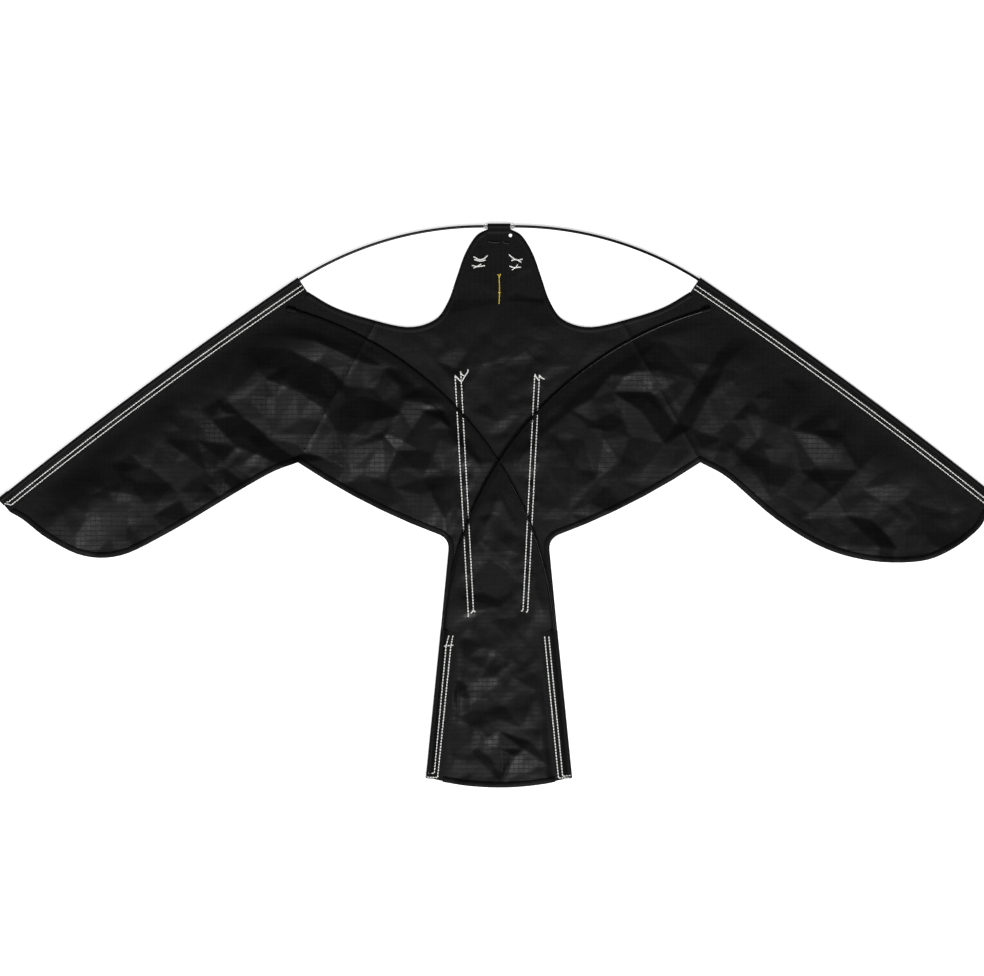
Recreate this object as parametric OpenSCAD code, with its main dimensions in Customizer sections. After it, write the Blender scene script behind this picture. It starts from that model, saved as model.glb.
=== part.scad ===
// Hawk-shaped bird scarer kite: a dark cloth sail with bound edges, sewn spar sleeves, a leading
// spar in two bowed halves that meet in a tube at the nose, and two crossed spars on the back.
// The kite lies on its front with the spars up: X to the right wing, Y to the nose, Z up.
// The origin is under the middle of the outline, on the surface that the kite lies on.

/* [Cloth] */
// Thickness of the sail, and of each layer of tape or sleeve cloth
cloth_t = 0.5; // [0.3:0.05:0.8]
// Width of the tape that is folded round the sail's free edges
hem_w = 6; // [4:0.5:8]

/* [Rods] */
// Diameter of the fibreglass rods
rod_d = 3; // [2.5:0.1:4]
// Room round a rod in its tube or cap, and round these in their sleeves
rod_clear = 0.15; // [0.1:0.05:0.25]
// Wall of a rubber end cap
cap_wall = 0.5; // [0.4:0.05:0.8]
// Length of an end cap
cap_len = 7; // [6:0.5:10]

/* [Nose] */
// Length of the clear tube that joins the two halves of the leading spar
tube_len = 33; // [30:1:45]
// Wall of the clear tube
tube_wall = 0.85; // [0.6:0.05:1.2]
// Width of the cloth loop that holds the tube
loop_w = 24; // [18:1:26]
// Length of the loop's sewn legs, from the tube's axis
loop_leg = 19; // [16:0.5:24]
// Diameter of the punched eye beside the loop
eye_d = 3.6; // [3:0.1:5]
// Distance of the eye from the centre line
eye_x = 12; // [11:0.5:13]
// Distance of the eye below the tube's axis
eye_drop = 9.4; // [8:0.2:12]

/* [Leading spar] */
// Radius of the free bow between the nose and the wing
bow_r = 361; // [350:1:375]
// Angle that the bow turns through before it runs into the wing
bow_angle = 34.25; // [33:0.25:36]
// Radius of the slight bend that is left in the wing
wing_r = 4725; // [3500:25:7000]
// Length of the wing from the end of the bow to the tip
wing_len = 378; // [350:1:400]
// How far the wing sleeve reaches back over the bow
sleeve_lead = 12; // [6:1:14]

/* [Sleeves] */
// Distance of the first seam from the rod's axis
seam_d = 6; // [5:0.25:8]
// Width of a sleeve's cloth from the rod's axis to its cut edge
sleeve_w = 15; // [12:0.5:18]
// Length of the flap that shuts a wing sleeve at the tip
tip_flap_len = 12; // [8:1:16]
// Length of a tail sleeve's lower end that is sewn shut
tail_shut_len = 3; // [2:0.5:6]

/* [Outline of the sail] */
// Half width and distance below the nose of the deepest point between head and shoulder
notch_x = 96.6; // [90:0.2:104]
notch_drop = 108.7; // [102:0.1:116]
// Depth of the wing behind its spar
wing_chord = 158; // [140:1:175]
// How far slack cloth draws in the left wing's rear edge
left_slack = 17; // [0:1:25]
// How far slack cloth draws in the left wing's tip
left_tip_draw = 9; // [0:1:14]
// Half width and distance below the nose of the armpit, where wing and body edges meet
armpit_x = 211; // [200:1:220]
armpit_drop = 250.8; // [240:0.5:262]
// How far the edge between armpit and waist bulges out
side_bulge = 5; // [0:0.5:10]
// Half width and distance below the nose of the corner at the waist
waist_x = 52; // [46:0.2:56]
waist_drop = 332; // [326:0.5:340]
// How far the waist's rounding reaches from that corner
waist_round = 11; // [6:0.5:16]
// Half width of the sail at the top of the tail
tail_top_x = 61.2; // [58:0.2:66]
// Distance of the tail's upper end below the nose
tail_drop = 427; // [410:1:445]
// Height of the tail from there to the middle of its lower edge
tail_height = 165; // [140:1:200]
// Half width of the sail at the tail's lower corners
tail_low_x = 77; // [72:0.5:86]
// How far the tail's lower edge bulges below its corners
tail_bulge = 10; // [6:0.5:14]

/* [Back of the kite] */
// Place along the wing of the pocket that holds a crossed spar's upper end
pocket_s = 15; // [12:1:30]
// Distance of that end from the edge of the wing sleeve
pocket_room = 4.6; // [4.6:0.2:9]
// Depth of that pocket
pocket_len = 8; // [6:0.5:10]
// Width of the sewn legs on each side of the pocket
pocket_leg = 2.5; // [2:0.5:4]
// Straight length of a crossed spar above its tail sleeve
cross_straight = 14; // [0:0.5:20]
// Gap between the crossed spars where one passes over the other
cross_gap = 0.3; // [0.2:0.05:0.6]
// Width of the stay tapes sewn under the body
stay_w = 10; // [8:0.5:12]
// Distance of a stay's upper end from the centre line and below the nose
stay_top_x = 41.5; // [38:0.5:48]
stay_top_drop = 158; // [150:1:170]
// Distance of a stay's lower end from the centre line and below the nose
stay_low_x = 28.5; // [24:0.5:34]
stay_low_drop = 408; // [390:1:414]

/* [Motion] */
// Lean of the fold between body and wing, from the direction of flight
fold_lean = 29.2; // [26:0.2:32]
// How far a wing flaps up or down
flap_deg = 30; // [20:1:35]
// How far the tail bends up or down
tail_deg = 20; // [10:1:25]

/* [Hidden] */

cloth_colour = "#1d1d1f";
tape_colour = "#141416";
rod_colour = "#0a0a0b";
tube_colour = "#e8ece9";
rubber_colour = "#18181a";

// Layers of cloth from the surface up: lower leg, sail, upper leg
sail_z = cloth_t;
sail_top = 2 * cloth_t;
stack_t = 3 * cloth_t;
fold_z = stack_t / 2;

// Radii of what goes round a rod
rod_r = rod_d / 2;
cap_bore_r = rod_r + rod_clear;
cap_r = cap_bore_r + cap_wall;
sleeve_bore_r = cap_r + rod_clear;
// Length past a rod's end that its cap takes up, with room inside and outside
cap_end = rod_clear + cap_wall + rod_clear;
sleeve_r = sleeve_bore_r + cloth_t;
tube_r = cap_bore_r + tube_wall;
loop_bore_r = tube_r + rod_clear;
loop_r = loop_bore_r + cloth_t;
// Height of every rod, which clears the sail and the edge tape
spar_z = max(loop_r, sleeve_r, sail_top + cap_r + rod_clear, stack_t + rod_r + rod_clear);

// A point given by its distance from the centre line and below the nose
kite_len = tail_drop + tail_height;
nose_top = kite_len / 2;
function below_nose(x, drop) = [x, nose_top - drop];
armpit = below_nose(armpit_x, armpit_drop);
waist = below_nose(waist_x, waist_drop);
nose_y = nose_top - loop_r;

// Bow and wing: two arcs that meet with one tangent
bow_centre = [tube_len / 2, nose_y - bow_r];
function bow_pt(turn) = bow_centre + bow_r * [sin(turn), cos(turn)];
wing_centre = bow_pt(bow_angle) - wing_r * [sin(bow_angle), cos(bow_angle)];
function wing_heading(along) = bow_angle + along / wing_r * 180 / PI;
// A point of the right wing, by its distance along the spar and its depth behind it
function wing_pt(along, depth) =
    wing_centre + (wing_r - depth) * [sin(wing_heading(along)), cos(wing_heading(along))];

// Where the sail's edge lies inside a sleeve, whose slot starts before the first seam, or a folded tape
slot_back = 1;
slot_d = seam_d - slot_back;
tape_fold = cloth_t;
edge_room = 0.3;
sail_inset = tape_fold + edge_room;
sail_d = slot_d + edge_room;

// Tail: the sleeves' axes lean out along the tail's sides
tail_y = nose_top - tail_drop;
tail_top = [tail_top_x, tail_y];
tail_low_y = -nose_top + tail_bulge;
tail_angle = atan((tail_low_x - tail_top_x) / (tail_y - tail_low_y));
tail_down = [sin(tail_angle), -cos(tail_angle)];
tail_in = [-cos(tail_angle), -sin(tail_angle)];
sleeve_rise = spar_z + sleeve_r - fold_z;
tail_gap = 2 * (fold_z * sin(tail_deg) + rod_clear) / (1 + cos(tail_deg));
tail_start = sleeve_rise * tan(tail_deg) - tail_gap / 2 + edge_room;
tail_len = (tail_y - tail_low_y) / cos(tail_angle) - tail_start;
tail_head = tail_top + sleeve_r * tail_in + tail_start * tail_down;
function tail_pt(down, depth) = tail_head + down * tail_down + depth * tail_in;

// Fold between body and wing
fold_gap = 2 * (fold_z * sin(flap_deg) + rod_clear) / (1 + cos(flap_deg));

// Crossed spars: an arc that leaves a tail sleeve straight and ends in the other wing's pocket
pocket_pt = wing_pt(pocket_s, sleeve_w + pocket_room);
cross_tip = [-pocket_pt.x, pocket_pt.y];
cross_foot = tail_pt(-cross_straight, 0);
cross_chord = cross_tip - cross_foot;
cross_r = cross_chord * cross_chord / (2 * cross_chord * tail_in);
cross_centre = cross_foot + cross_r * tail_in;
function angle_of(v) = atan2(v.y, v.x);
cross_start = angle_of(cross_foot - cross_centre);
cross_sweep = angle_of(cross_tip - cross_centre) - cross_start;
function cross_pt(turn) = cross_centre + cross_r * [cos(cross_start + turn), sin(cross_start + turn)];
crossing_turn = acos(-cross_centre.x / cross_r) - cross_start;
// Turn before and after the crossing over which the upper spar lifts
lift_turn = 25;

// Smoothness of round faces
round_fn = 48;
arc_fn = 240;
wing_fn = 1440;
bar_sides = 10;
bow_steps = 18;
wing_steps = 12;
cross_steps = 40;
curve_steps = 5;
fold_steps = 16;
edge_steps = 6;
half_tail_steps = 8;
// For cutting: larger than the kite, and how far a cut runs past what it cuts
beyond = 2 * kite_len;
cut_over = 1;

// Curve through points, with as many steps between each pair
function spline_at(a, b, c, d, t) =
    0.5 * (2 * b + (c - a) * t + (2 * a - 5 * b + 4 * c - d) * t * t + (3 * b - a - 3 * c + d) * t * t * t);
function spline(points) = let (last = len(points) - 1) concat(
    [for (i = [0 : last - 1], k = [0 : curve_steps - 1])
        spline_at(
            i > 0 ? points[i - 1] : 2 * points[0] - points[1], points[i], points[i + 1],
            i + 2 <= last ? points[i + 2] : 2 * points[last] - points[last - 1], k / curve_steps)],
    [points[last]]);

// Curve that leaves its start towards a corner and comes to its end from there
function bend(start, corner, end) = [for (k = [0 : curve_steps])
    let (t = k / curve_steps) (1 - t) * (1 - t) * start + 2 * t * (1 - t) * corner + t * t * end];

// The same path moved to its right-hand side, with mitred corners
function unit(v) = v / norm(v);
function to_right(v) = [v.y, -v.x];
function side_at(path, i) = to_right(unit(path[i + 1] - path[i]));
function mitre(path, i) =
    i == 0 ? side_at(path, 0)
    : i == len(path) - 1 ? side_at(path, i - 1)
    : let (a = side_at(path, i - 1), b = side_at(path, i)) (a + b) / (1 + a * b);
function inset(path, depth) = [for (i = [0 : len(path) - 1]) path[i] + depth * mitre(path, i)];
function backwards(path) = [for (i = [len(path) - 1 : -1 : 0]) path[i]];
function flipped(path) = [for (p = path) [-p.x, p.y]];

// Free edge from the nose loop over head and shoulder to the wing sleeve, on the right: the head as
// shares of the way from the nose to the notch, the shoulder as shares of the way on to the sleeve
head_shape = [[0.25, 0.12], [0.37, 0.294], [0.462, 0.524], [0.555, 0.757], [0.701, 0.931]];
shoulder_shape = [[0, 0], [0.413, 0.258], [0.735, 0.567]];
notch = below_nose(notch_x, notch_drop);
sleeve_corner = wing_pt(-sleeve_lead - edge_room, sleeve_w + edge_room);
function share_between(a, b, share) = [a.x + share.x * (b.x - a.x), a.y + share.y * (b.y - a.y)];
front_edge = spline(concat(
    [below_nose(loop_w / 2 + edge_room, loop_r + tube_r + edge_room)],
    [for (share = head_shape) share_between([0, nose_top], notch, share)],
    [for (share = shoulder_shape) share_between(notch, sleeve_corner, share)],
    [sleeve_corner]));

// Rear edge of the wing as shares of its length and depth, then the shares in which slack cloth
// draws each point towards the spar and towards the body
rear_shape = [
    [1.008, 0.228, 0.29, 1], [0.986, 0.440, 0.38, 1], [0.937, 0.636, 0, 1], [0.829, 0.834, 0.45, 0],
    [0.698, 0.961, 1, 0], [0.538, 1, 0.95, 0], [0.357, 0.969, 0.27, 0]
];
side_run = unit(armpit - waist);
waist_in = waist + waist_round * side_run;
waist_out = waist + waist_round * unit(tail_top - waist);
side_corner = (armpit + waist_in) / 2 + 2 * side_bulge * to_right(side_run);
body_side = [for (i = [1 : curve_steps]) bend(armpit, side_corner, waist_in)[i]];
waist_curve = [for (i = [1 : curve_steps]) bend(waist_in, waist, waist_out)[i]];
function rear_edge(slack, tip_draw) = concat(
    spline(concat(
        [wing_pt(wing_len, sleeve_w + edge_room)],
        [for (p = rear_shape)
            wing_pt(p[0] * wing_len - p[3] * tip_draw, p[1] * wing_chord - p[2] * slack)],
        [armpit])),
    body_side, waist_curve, [tail_top]);
right_rear_edge = rear_edge(0, 0);
left_rear_edge = rear_edge(left_slack, left_tip_draw);

// Lower edge of the tail, from the right corner to the left
tail_edge_r = (tail_low_x * tail_low_x + tail_bulge * tail_bulge) / (2 * tail_bulge);
tail_edge_half = asin(tail_low_x / tail_edge_r);
tail_edge = [for (i = [-half_tail_steps : half_tail_steps])
    let (turn = i / half_tail_steps * tail_edge_half)
    [0, -nose_top + tail_edge_r] - tail_edge_r * [sin(turn), cos(turn)]];

// The sail's own edge, inside tapes and sleeves
wing_edge_len = wing_len + sleeve_lead - 2 * edge_room;
wing_edge = [for (i = [0 : edge_steps])
    wing_pt(edge_room - sleeve_lead + i / edge_steps * wing_edge_len, sail_d)];
tail_side = [tail_pt(0, sail_d), tail_pt(tail_len, sail_d)];
sail_tail_edge = [for (i = [1 : 2 * half_tail_steps - 1]) inset(tail_edge, sail_inset)[i]];
function half_sail(rear) = concat(inset(front_edge, sail_inset), wing_edge, inset(rear, sail_inset), tail_side);
sail_top_y = nose_y - sail_d;

module on_left() {
    mirror([1, 0, 0]) children();
}

// Everything outside the right wing's fold
module wing_side(gap) {
    translate([armpit.x, armpit.y, -beyond / 2]) rotate([0, 0, fold_lean])
        translate([gap / 2, -beyond, 0]) cube([beyond, 2 * beyond, beyond]);
}

module tail_side_of_fold(gap) {
    translate([-beyond, tail_y - gap / 2 - beyond, -beyond / 2]) cube([2 * beyond, beyond, beyond]);
}

module in_body() {
    difference() {
        children();
        wing_side(-fold_gap);
        on_left() wing_side(-fold_gap);
        tail_side_of_fold(-tail_gap);
    }
}

module in_wing() {
    intersection() {
        children();
        wing_side(fold_gap);
    }
}

module in_tail() {
    intersection() {
        children();
        tail_side_of_fold(tail_gap);
    }
}

// A section, drawn with its depth behind the spar and its height, carried along the right wing
module along_wing(from, to) {
    translate([wing_centre.x, wing_centre.y, 0]) rotate([0, 0, 90 - wing_heading(to)])
        rotate_extrude(angle = wing_heading(to) - wing_heading(from), $fn = wing_fn)
            translate([wing_r, 0]) mirror([1, 0]) children();
}

// A section carried down the right side of the tail
module along_tail(from, to) {
    start = tail_pt(from, 0);
    translate([start.x, start.y, 0]) rotate([0, 0, tail_angle]) rotate([90, 0, 0])
        linear_extrude(to - from) mirror([1, 0]) children();
}

module disc(radius) {
    translate([0, spar_z]) circle(radius, $fn = round_fn);
}

// Angle at which a line from outside touches the circle round the spar's axis
function touch_angle(radius, p, side) =
    let (v = p - [0, spar_z]) atan2(v.y, v.x) + side * acos(radius / norm(v));
function arc(radius, from, to) = [for (k = [0 : fold_steps])
    let (a = from + k / fold_steps * (to - from)) [radius * cos(a), spar_z + radius * sin(a)]];

// Cloth folded round a rod: a rounded fold, drawn down to two flat legs
module fold_section(radius, reach, grow) {
    upper_seam = [seam_d, stack_t + grow];
    lower_seam = [seam_d, 0];
    upper_touch = touch_angle(radius + grow, upper_seam, 1);
    lower_touch = touch_angle(radius, lower_seam, -1);
    polygon(concat(
        arc(radius + grow, upper_touch, lower_touch + 360),
        [lower_seam, [reach, 0], [reach, stack_t + grow], upper_seam]));
}

module sleeve_section(bore, reach) {
    difference() {
        fold_section(bore + cloth_t, reach, 0);
        disc(bore);
        translate([slot_d, sail_z]) square([reach, cloth_t]);
    }
}

module sleeve_footprint() {
    translate([-beyond / 4, -cut_over]) square([beyond / 4 + sleeve_w + edge_room, 2 * spar_z]);
}

// Tape folded round a free edge, with the sail's edge between its legs
module edge_tape(path) {
    difference() {
        linear_extrude(stack_t) polygon(concat(path, backwards(inset(path, hem_w))));
        translate([0, 0, sail_z]) linear_extrude(cloth_t)
            polygon(concat(inset(path, tape_fold), backwards(inset(path, hem_w + cut_over))));
    }
}

module sail() {
    color(cloth_colour) difference() {
        translate([0, 0, sail_z]) linear_extrude(cloth_t) polygon(concat(
            half_sail(right_rear_edge), sail_tail_edge,
            backwards(flipped(half_sail(left_rear_edge)))));
        translate([-beyond / 2, sail_top_y, 0]) cube([beyond, beyond, stack_t]);
        eye(eye_d / 2);
    }
}

module eye(radius) {
    translate([eye_x, nose_y - eye_drop, -cut_over])
        cylinder(r = radius, h = stack_t + 2 * cut_over, $fn = round_fn);
}

module front_tape() {
    color(tape_colour) difference() {
        edge_tape(front_edge);
        translate([0, nose_y - loop_leg, -cut_over])
            cube([loop_w / 2 + edge_room, loop_leg + loop_r, stack_t + 2 * cut_over]);
        eye(eye_d / 2 + edge_room);
        along_wing(-sleeve_lead - edge_room, wing_len) sleeve_footprint();
    }
}

module rear_tape(path) {
    color(tape_colour) difference() {
        edge_tape(path);
        along_wing(-sleeve_lead - edge_room, wing_len + cut_over) sleeve_footprint();
    }
}

module hem_tape() {
    color(tape_colour) difference() {
        edge_tape(tail_edge);
        along_tail(-cut_over, tail_len + hem_w) sleeve_footprint();
        on_left() along_tail(-cut_over, tail_len + hem_w) sleeve_footprint();
    }
}

module wing_sleeve() {
    color(tape_colour) along_wing(-sleeve_lead, wing_len) sleeve_section(sleeve_bore_r, sleeve_w);
}

// Flap that is folded over the sleeve's end and shuts it
module tip_flap() {
    color(rubber_colour) difference() {
        along_wing(wing_len - tip_flap_len, wing_len + rod_clear + cloth_t) intersection() {
            fold_section(sleeve_r, seam_d, cloth_t + rod_clear);
            translate([-beyond / 4, cloth_t]) square([beyond / 2, beyond]);
        }
        along_wing(wing_len - tip_flap_len - cut_over, wing_len + rod_clear)
            fold_section(sleeve_r, seam_d + cut_over, rod_clear);
    }
}

module tail_sleeve() {
    color(tape_colour) {
        along_tail(0, tail_len - tail_shut_len) sleeve_section(sleeve_bore_r, sleeve_w);
        along_tail(tail_len - tail_shut_len, tail_len) difference() {
            fold_section(sleeve_r, sleeve_w, 0);
            translate([slot_d, sail_z]) square([sleeve_w, cloth_t]);
        }
    }
}

module nose_loop() {
    color(tape_colour) difference() {
        translate([-loop_w / 2, nose_y, 0]) rotate([90, 0, 90]) linear_extrude(loop_w)
            mirror([1, 0]) sleeve_section(loop_bore_r, loop_leg);
        eye(eye_d / 2 + edge_room);
    }
}

module nose_tube() {
    color(tube_colour) translate([-tube_len / 2, nose_y, spar_z]) rotate([0, 90, 0]) difference() {
        cylinder(r = tube_r, h = tube_len, $fn = round_fn);
        translate([0, 0, -cut_over]) cylinder(r = cap_bore_r, h = tube_len + 2 * cut_over, $fn = round_fn);
    }
}

// A round bar swept along a path
function ring(path, i) =
    let (
        along = unit(path[min(i + 1, len(path) - 1)] - path[max(i - 1, 0)]),
        across = unit(cross(along, [0, 0, 1])),
        rise = cross(across, along))
    [for (k = [0 : bar_sides - 1])
        path[i] + rod_r * (cos(k / bar_sides * 360) * across + sin(k / bar_sides * 360) * rise)];
module bar(path) {
    last = len(path) - 1;
    around = [for (k = [0 : bar_sides - 1]) k];
    next = [for (k = around) (k + 1) % bar_sides];
    polyhedron(
        [for (i = [0 : last], p = ring(path, i)) p],
        concat(
            [[for (k = around) bar_sides - 1 - k]],
            [for (i = [0 : last - 1], k = around)
                let (here = i * bar_sides, there = here + bar_sides)
                [here + k, here + next[k], there + next[k], there + k]],
            [[for (k = around) last * bar_sides + k]]));
}
function raised(p, z) = [p.x, p.y, z];

// Right half of the leading spar: straight in the tube, bowed, then nearly straight in the wing
lead_end = wing_len - cap_end;
lead_path = concat(
    [raised([rod_clear, nose_y], spar_z)],
    [for (i = [0 : bow_steps]) raised(bow_pt(i / bow_steps * bow_angle), spar_z)],
    [for (i = [1 : wing_steps]) raised(wing_pt(i / wing_steps * lead_end, 0), spar_z)]);
module leading_spar() {
    color(rod_colour) bar(lead_path);
}

module tip_cap() {
    color(rubber_colour) difference() {
        along_wing(lead_end - cap_len, lead_end + rod_clear + cap_wall) disc(cap_r);
        along_wing(lead_end - cap_len - cut_over, lead_end + rod_clear) disc(cap_bore_r);
    }
}

// Crossed spar from the right tail sleeve to the left wing, lifted where it passes over the other
cross_low_end = tail_len - tail_shut_len - cap_end;
function cross_lift(turn) = let (u = (turn - crossing_turn) / lift_turn)
    abs(u) < 1 ? (rod_d + cross_gap) * (1 + cos(180 * u)) / 2 : 0;
function cross_path(over) = concat(
    [raised(tail_pt(cross_low_end, 0), spar_z)],
    [for (i = [0 : cross_steps]) let (turn = i / cross_steps * cross_sweep)
        raised(cross_pt(turn), spar_z + (over ? cross_lift(turn) : 0))]);
module cross_spar(over) {
    color(rod_colour) bar(cross_path(over));
}

// A round solid along the end of a crossed spar's arc, by its lengths back from and past the end
module along_cross(back, past) {
    translate([cross_centre.x, cross_centre.y, 0])
        rotate([0, 0, cross_start + cross_sweep - back / cross_r * 180 / PI])
            rotate_extrude(angle = (back + past) / cross_r * 180 / PI, $fn = arc_fn)
                translate([cross_r, 0]) children();
}

module pocket_cap() {
    color(rubber_colour) difference() {
        along_cross(cap_len, rod_clear + cap_wall) disc(cap_r);
        along_cross(cap_len + cut_over, rod_clear) disc(cap_bore_r);
    }
}

module tail_cap() {
    color(rubber_colour) difference() {
        along_tail(cross_low_end - cap_len, cross_low_end + rod_clear + cap_wall) disc(cap_r);
        along_tail(cross_low_end - cap_len - cut_over, cross_low_end + rod_clear) disc(cap_bore_r);
    }
}

// Cloth pocket on the left wing that holds the spar's capped end, open towards the body
module arch_section(radius, foot) {
    polygon(concat([[radius, foot]], arc(radius, 0, 180), [[-radius, foot]]));
}

module pocket_section(bore) {
    outer = bore + cloth_t;
    leg_end = outer + pocket_leg;
    leg_top = sail_top + cloth_t;
    polygon(concat(
        [[leg_end, sail_top], [leg_end, leg_top], [outer, leg_top]], arc(outer, 0, 180),
        [[-outer, leg_top], [-leg_end, leg_top], [-leg_end, sail_top]]));
}

module spar_pocket() {
    bore = cap_r + rod_clear;
    color(tape_colour) translate([cross_tip.x, cross_tip.y, 0]) rotate([90, 0, cross_start + cross_sweep])
        difference() {
            translate([0, 0, -cap_end - cloth_t])
                linear_extrude(pocket_len + cap_end + cloth_t) pocket_section(bore);
            translate([0, 0, -cap_end])
                linear_extrude(pocket_len + cap_end + cut_over) arch_section(bore, sail_top - cut_over);
        }
}

// Tape sewn under the right half of the body
module stay_tape() {
    top = below_nose(stay_top_x, stay_top_drop);
    low = below_nose(stay_low_x, stay_low_drop);
    run = top - low;
    color(tape_colour) translate([low.x, low.y, 0]) rotate([0, 0, atan2(run.y, run.x)])
        translate([0, -stay_w / 2, 0]) cube([norm(run), stay_w, cloth_t]);
}

in_body() sail();  // sail_centre
on_left() in_wing() on_left() sail();  // sail_wing_left
in_wing() sail();  // sail_wing_right
in_tail() sail();  // sail_tail
in_body() on_left() front_tape();  // shoulder_binding_left
in_body() front_tape();  // shoulder_binding_right
on_left() in_wing() front_tape();  // wing_front_binding_left
in_wing() front_tape();  // wing_front_binding_right
on_left() in_wing() rear_tape(left_rear_edge);  // wing_rear_binding_left
in_wing() rear_tape(right_rear_edge);  // wing_rear_binding_right
in_body() on_left() rear_tape(left_rear_edge);  // body_binding_left
in_body() rear_tape(right_rear_edge);  // body_binding_right
in_tail() hem_tape();  // tail_hem
on_left() wing_sleeve();  // wing_sleeve_left
wing_sleeve();  // wing_sleeve_right
on_left() tip_flap();  // tip_flap_left
tip_flap();  // tip_flap_right
on_left() tail_sleeve();  // tail_sleeve_left
tail_sleeve();  // tail_sleeve_right
nose_loop();
nose_tube();
on_left() leading_spar();  // leading_spar_left
leading_spar();  // leading_spar_right
on_left() tip_cap();  // tip_cap_left
tip_cap();  // tip_cap_right
cross_spar(false);  // cross_spar_left
on_left() cross_spar(true);  // cross_spar_right
spar_pocket();  // spar_pocket_left
on_left() spar_pocket();  // spar_pocket_right
pocket_cap();  // pocket_cap_left
on_left() pocket_cap();  // pocket_cap_right
on_left() tail_cap();  // tail_cap_left
tail_cap();  // tail_cap_right
on_left() stay_tape();  // stay_tape_left
stay_tape();  // stay_tape_right
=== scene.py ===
import math

import bmesh
import bpy
import numpy as np
from bpy.props import FloatProperty, FloatVectorProperty, IntProperty, PointerProperty
from mathutils import Matrix, Vector, bvhtree, geometry, kdtree, noise


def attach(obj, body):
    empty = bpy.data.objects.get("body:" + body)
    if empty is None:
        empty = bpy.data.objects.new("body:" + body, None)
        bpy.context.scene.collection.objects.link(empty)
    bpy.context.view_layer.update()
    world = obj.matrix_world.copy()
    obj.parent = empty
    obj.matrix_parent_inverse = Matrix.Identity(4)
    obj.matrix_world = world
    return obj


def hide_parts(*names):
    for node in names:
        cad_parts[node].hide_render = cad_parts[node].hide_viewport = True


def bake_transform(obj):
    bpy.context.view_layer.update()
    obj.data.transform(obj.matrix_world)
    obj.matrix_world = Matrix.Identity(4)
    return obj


bl_info = {
    "name": "Hawk kite dressing",
    "version": (1, 0, 0),
    "blender": (4, 5, 0),
    "location": "3D View > Sidebar > Kite",
    "description": "Dresses the hawk-shaped bird scarer kite with cloth, sewing, rods and a studio",
    "category": "Object",
}

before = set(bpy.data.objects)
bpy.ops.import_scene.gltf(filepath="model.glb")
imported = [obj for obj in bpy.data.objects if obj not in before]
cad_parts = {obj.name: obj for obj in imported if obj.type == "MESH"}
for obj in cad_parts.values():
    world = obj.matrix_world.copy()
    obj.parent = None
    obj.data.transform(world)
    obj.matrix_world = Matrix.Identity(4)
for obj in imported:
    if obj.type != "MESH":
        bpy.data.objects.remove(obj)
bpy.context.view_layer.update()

MM = 0.001

# The rods' lines, as in the part's source, in millimetres
NOSE_Y = 292.85
TUBE_HALF = 16.5
SPAR_Z = 3.3
ROD_R = 1.5
BOW_R = 361
BOW_ANGLE = math.radians(34.25)
WING_R = 4725
WING_LEN = 378
LEAD_END = 377.2
POCKET_ALONG = 15
POCKET_DEPTH = 19.6
CROSS_STRAIGHT = 14
LIFT_TURN = math.radians(25)
CROSS_LIFT = 3.3
TAIL_HEAD = np.array((58.62, -133.31))
TAIL_ANGLE = math.radians(5.82)
TAIL_DOWN = np.array((math.sin(TAIL_ANGLE), -math.cos(TAIL_ANGLE)))
TAIL_IN = np.array((-math.cos(TAIL_ANGLE), -math.sin(TAIL_ANGLE)))
CROSS_LOW_END = 149.97
BOW_CENTRE = np.array((TUBE_HALF, NOSE_Y - BOW_R))
WING_CENTRE = BOW_CENTRE + (BOW_R - WING_R) * np.array((math.sin(BOW_ANGLE), math.cos(BOW_ANGLE)))


def wing_point(along, depth):
    """A point of the right wing, by its distance along the spar and its depth behind it."""
    heading = BOW_ANGLE + along / WING_R
    return WING_CENTRE + (WING_R - depth) * np.array((math.sin(heading), math.cos(heading)))


def tail_point(down, depth):
    """A point of the tail's right side, by its distance down the sleeve and its depth from the rod."""
    return TAIL_HEAD + down * TAIL_DOWN + depth * TAIL_IN


# Arc of the spar from the right of the tail to the left wing's pocket
CROSS_TIP = wing_point(POCKET_ALONG, POCKET_DEPTH) * (-1, 1)
CROSS_FOOT = tail_point(-CROSS_STRAIGHT, 0)
CROSS_CHORD = CROSS_TIP - CROSS_FOOT
CROSS_R = CROSS_CHORD @ CROSS_CHORD / (2 * CROSS_CHORD @ TAIL_IN)
CROSS_CENTRE = CROSS_FOOT + CROSS_R * TAIL_IN
CROSS_START = math.atan2(*(CROSS_FOOT - CROSS_CENTRE)[::-1])
CROSS_SWEEP = math.atan2(*(CROSS_TIP - CROSS_CENTRE)[::-1]) - CROSS_START
CROSSING = math.acos(-CROSS_CENTRE[0] / CROSS_R) - CROSS_START

# Heights of the cloth's upper faces
SAIL_TOP = 1.0
SLEEVE_TOP = 1.5

# The folds between the bodies, the gaps that the solids leave there, and the end and width of a tail sleeve
# at its fold
ARMPIT = np.array((211, 45.2))
FOLD_LEAN = math.radians(29.2)
FOLD_OUT = np.array((math.cos(FOLD_LEAN), math.sin(FOLD_LEAN)))
FOLD_HALF_GAP = 0.282
TAIL_FOLD_Y = -131
TAIL_HALF_GAP = 0.21
SLEEVE_END = 0.3
SLEEVE_WIDE = 14

# The nose loop's half width, the room beside it and its lower end, and the stay tapes' lines
LOOP_HALF = 12
LOOP_ROOM = 0.3
LOOP_LOW = 270
STAYS = ((-41.5, 138, -28.5, -112), (41.5, 138, 28.5, -112))

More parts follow.
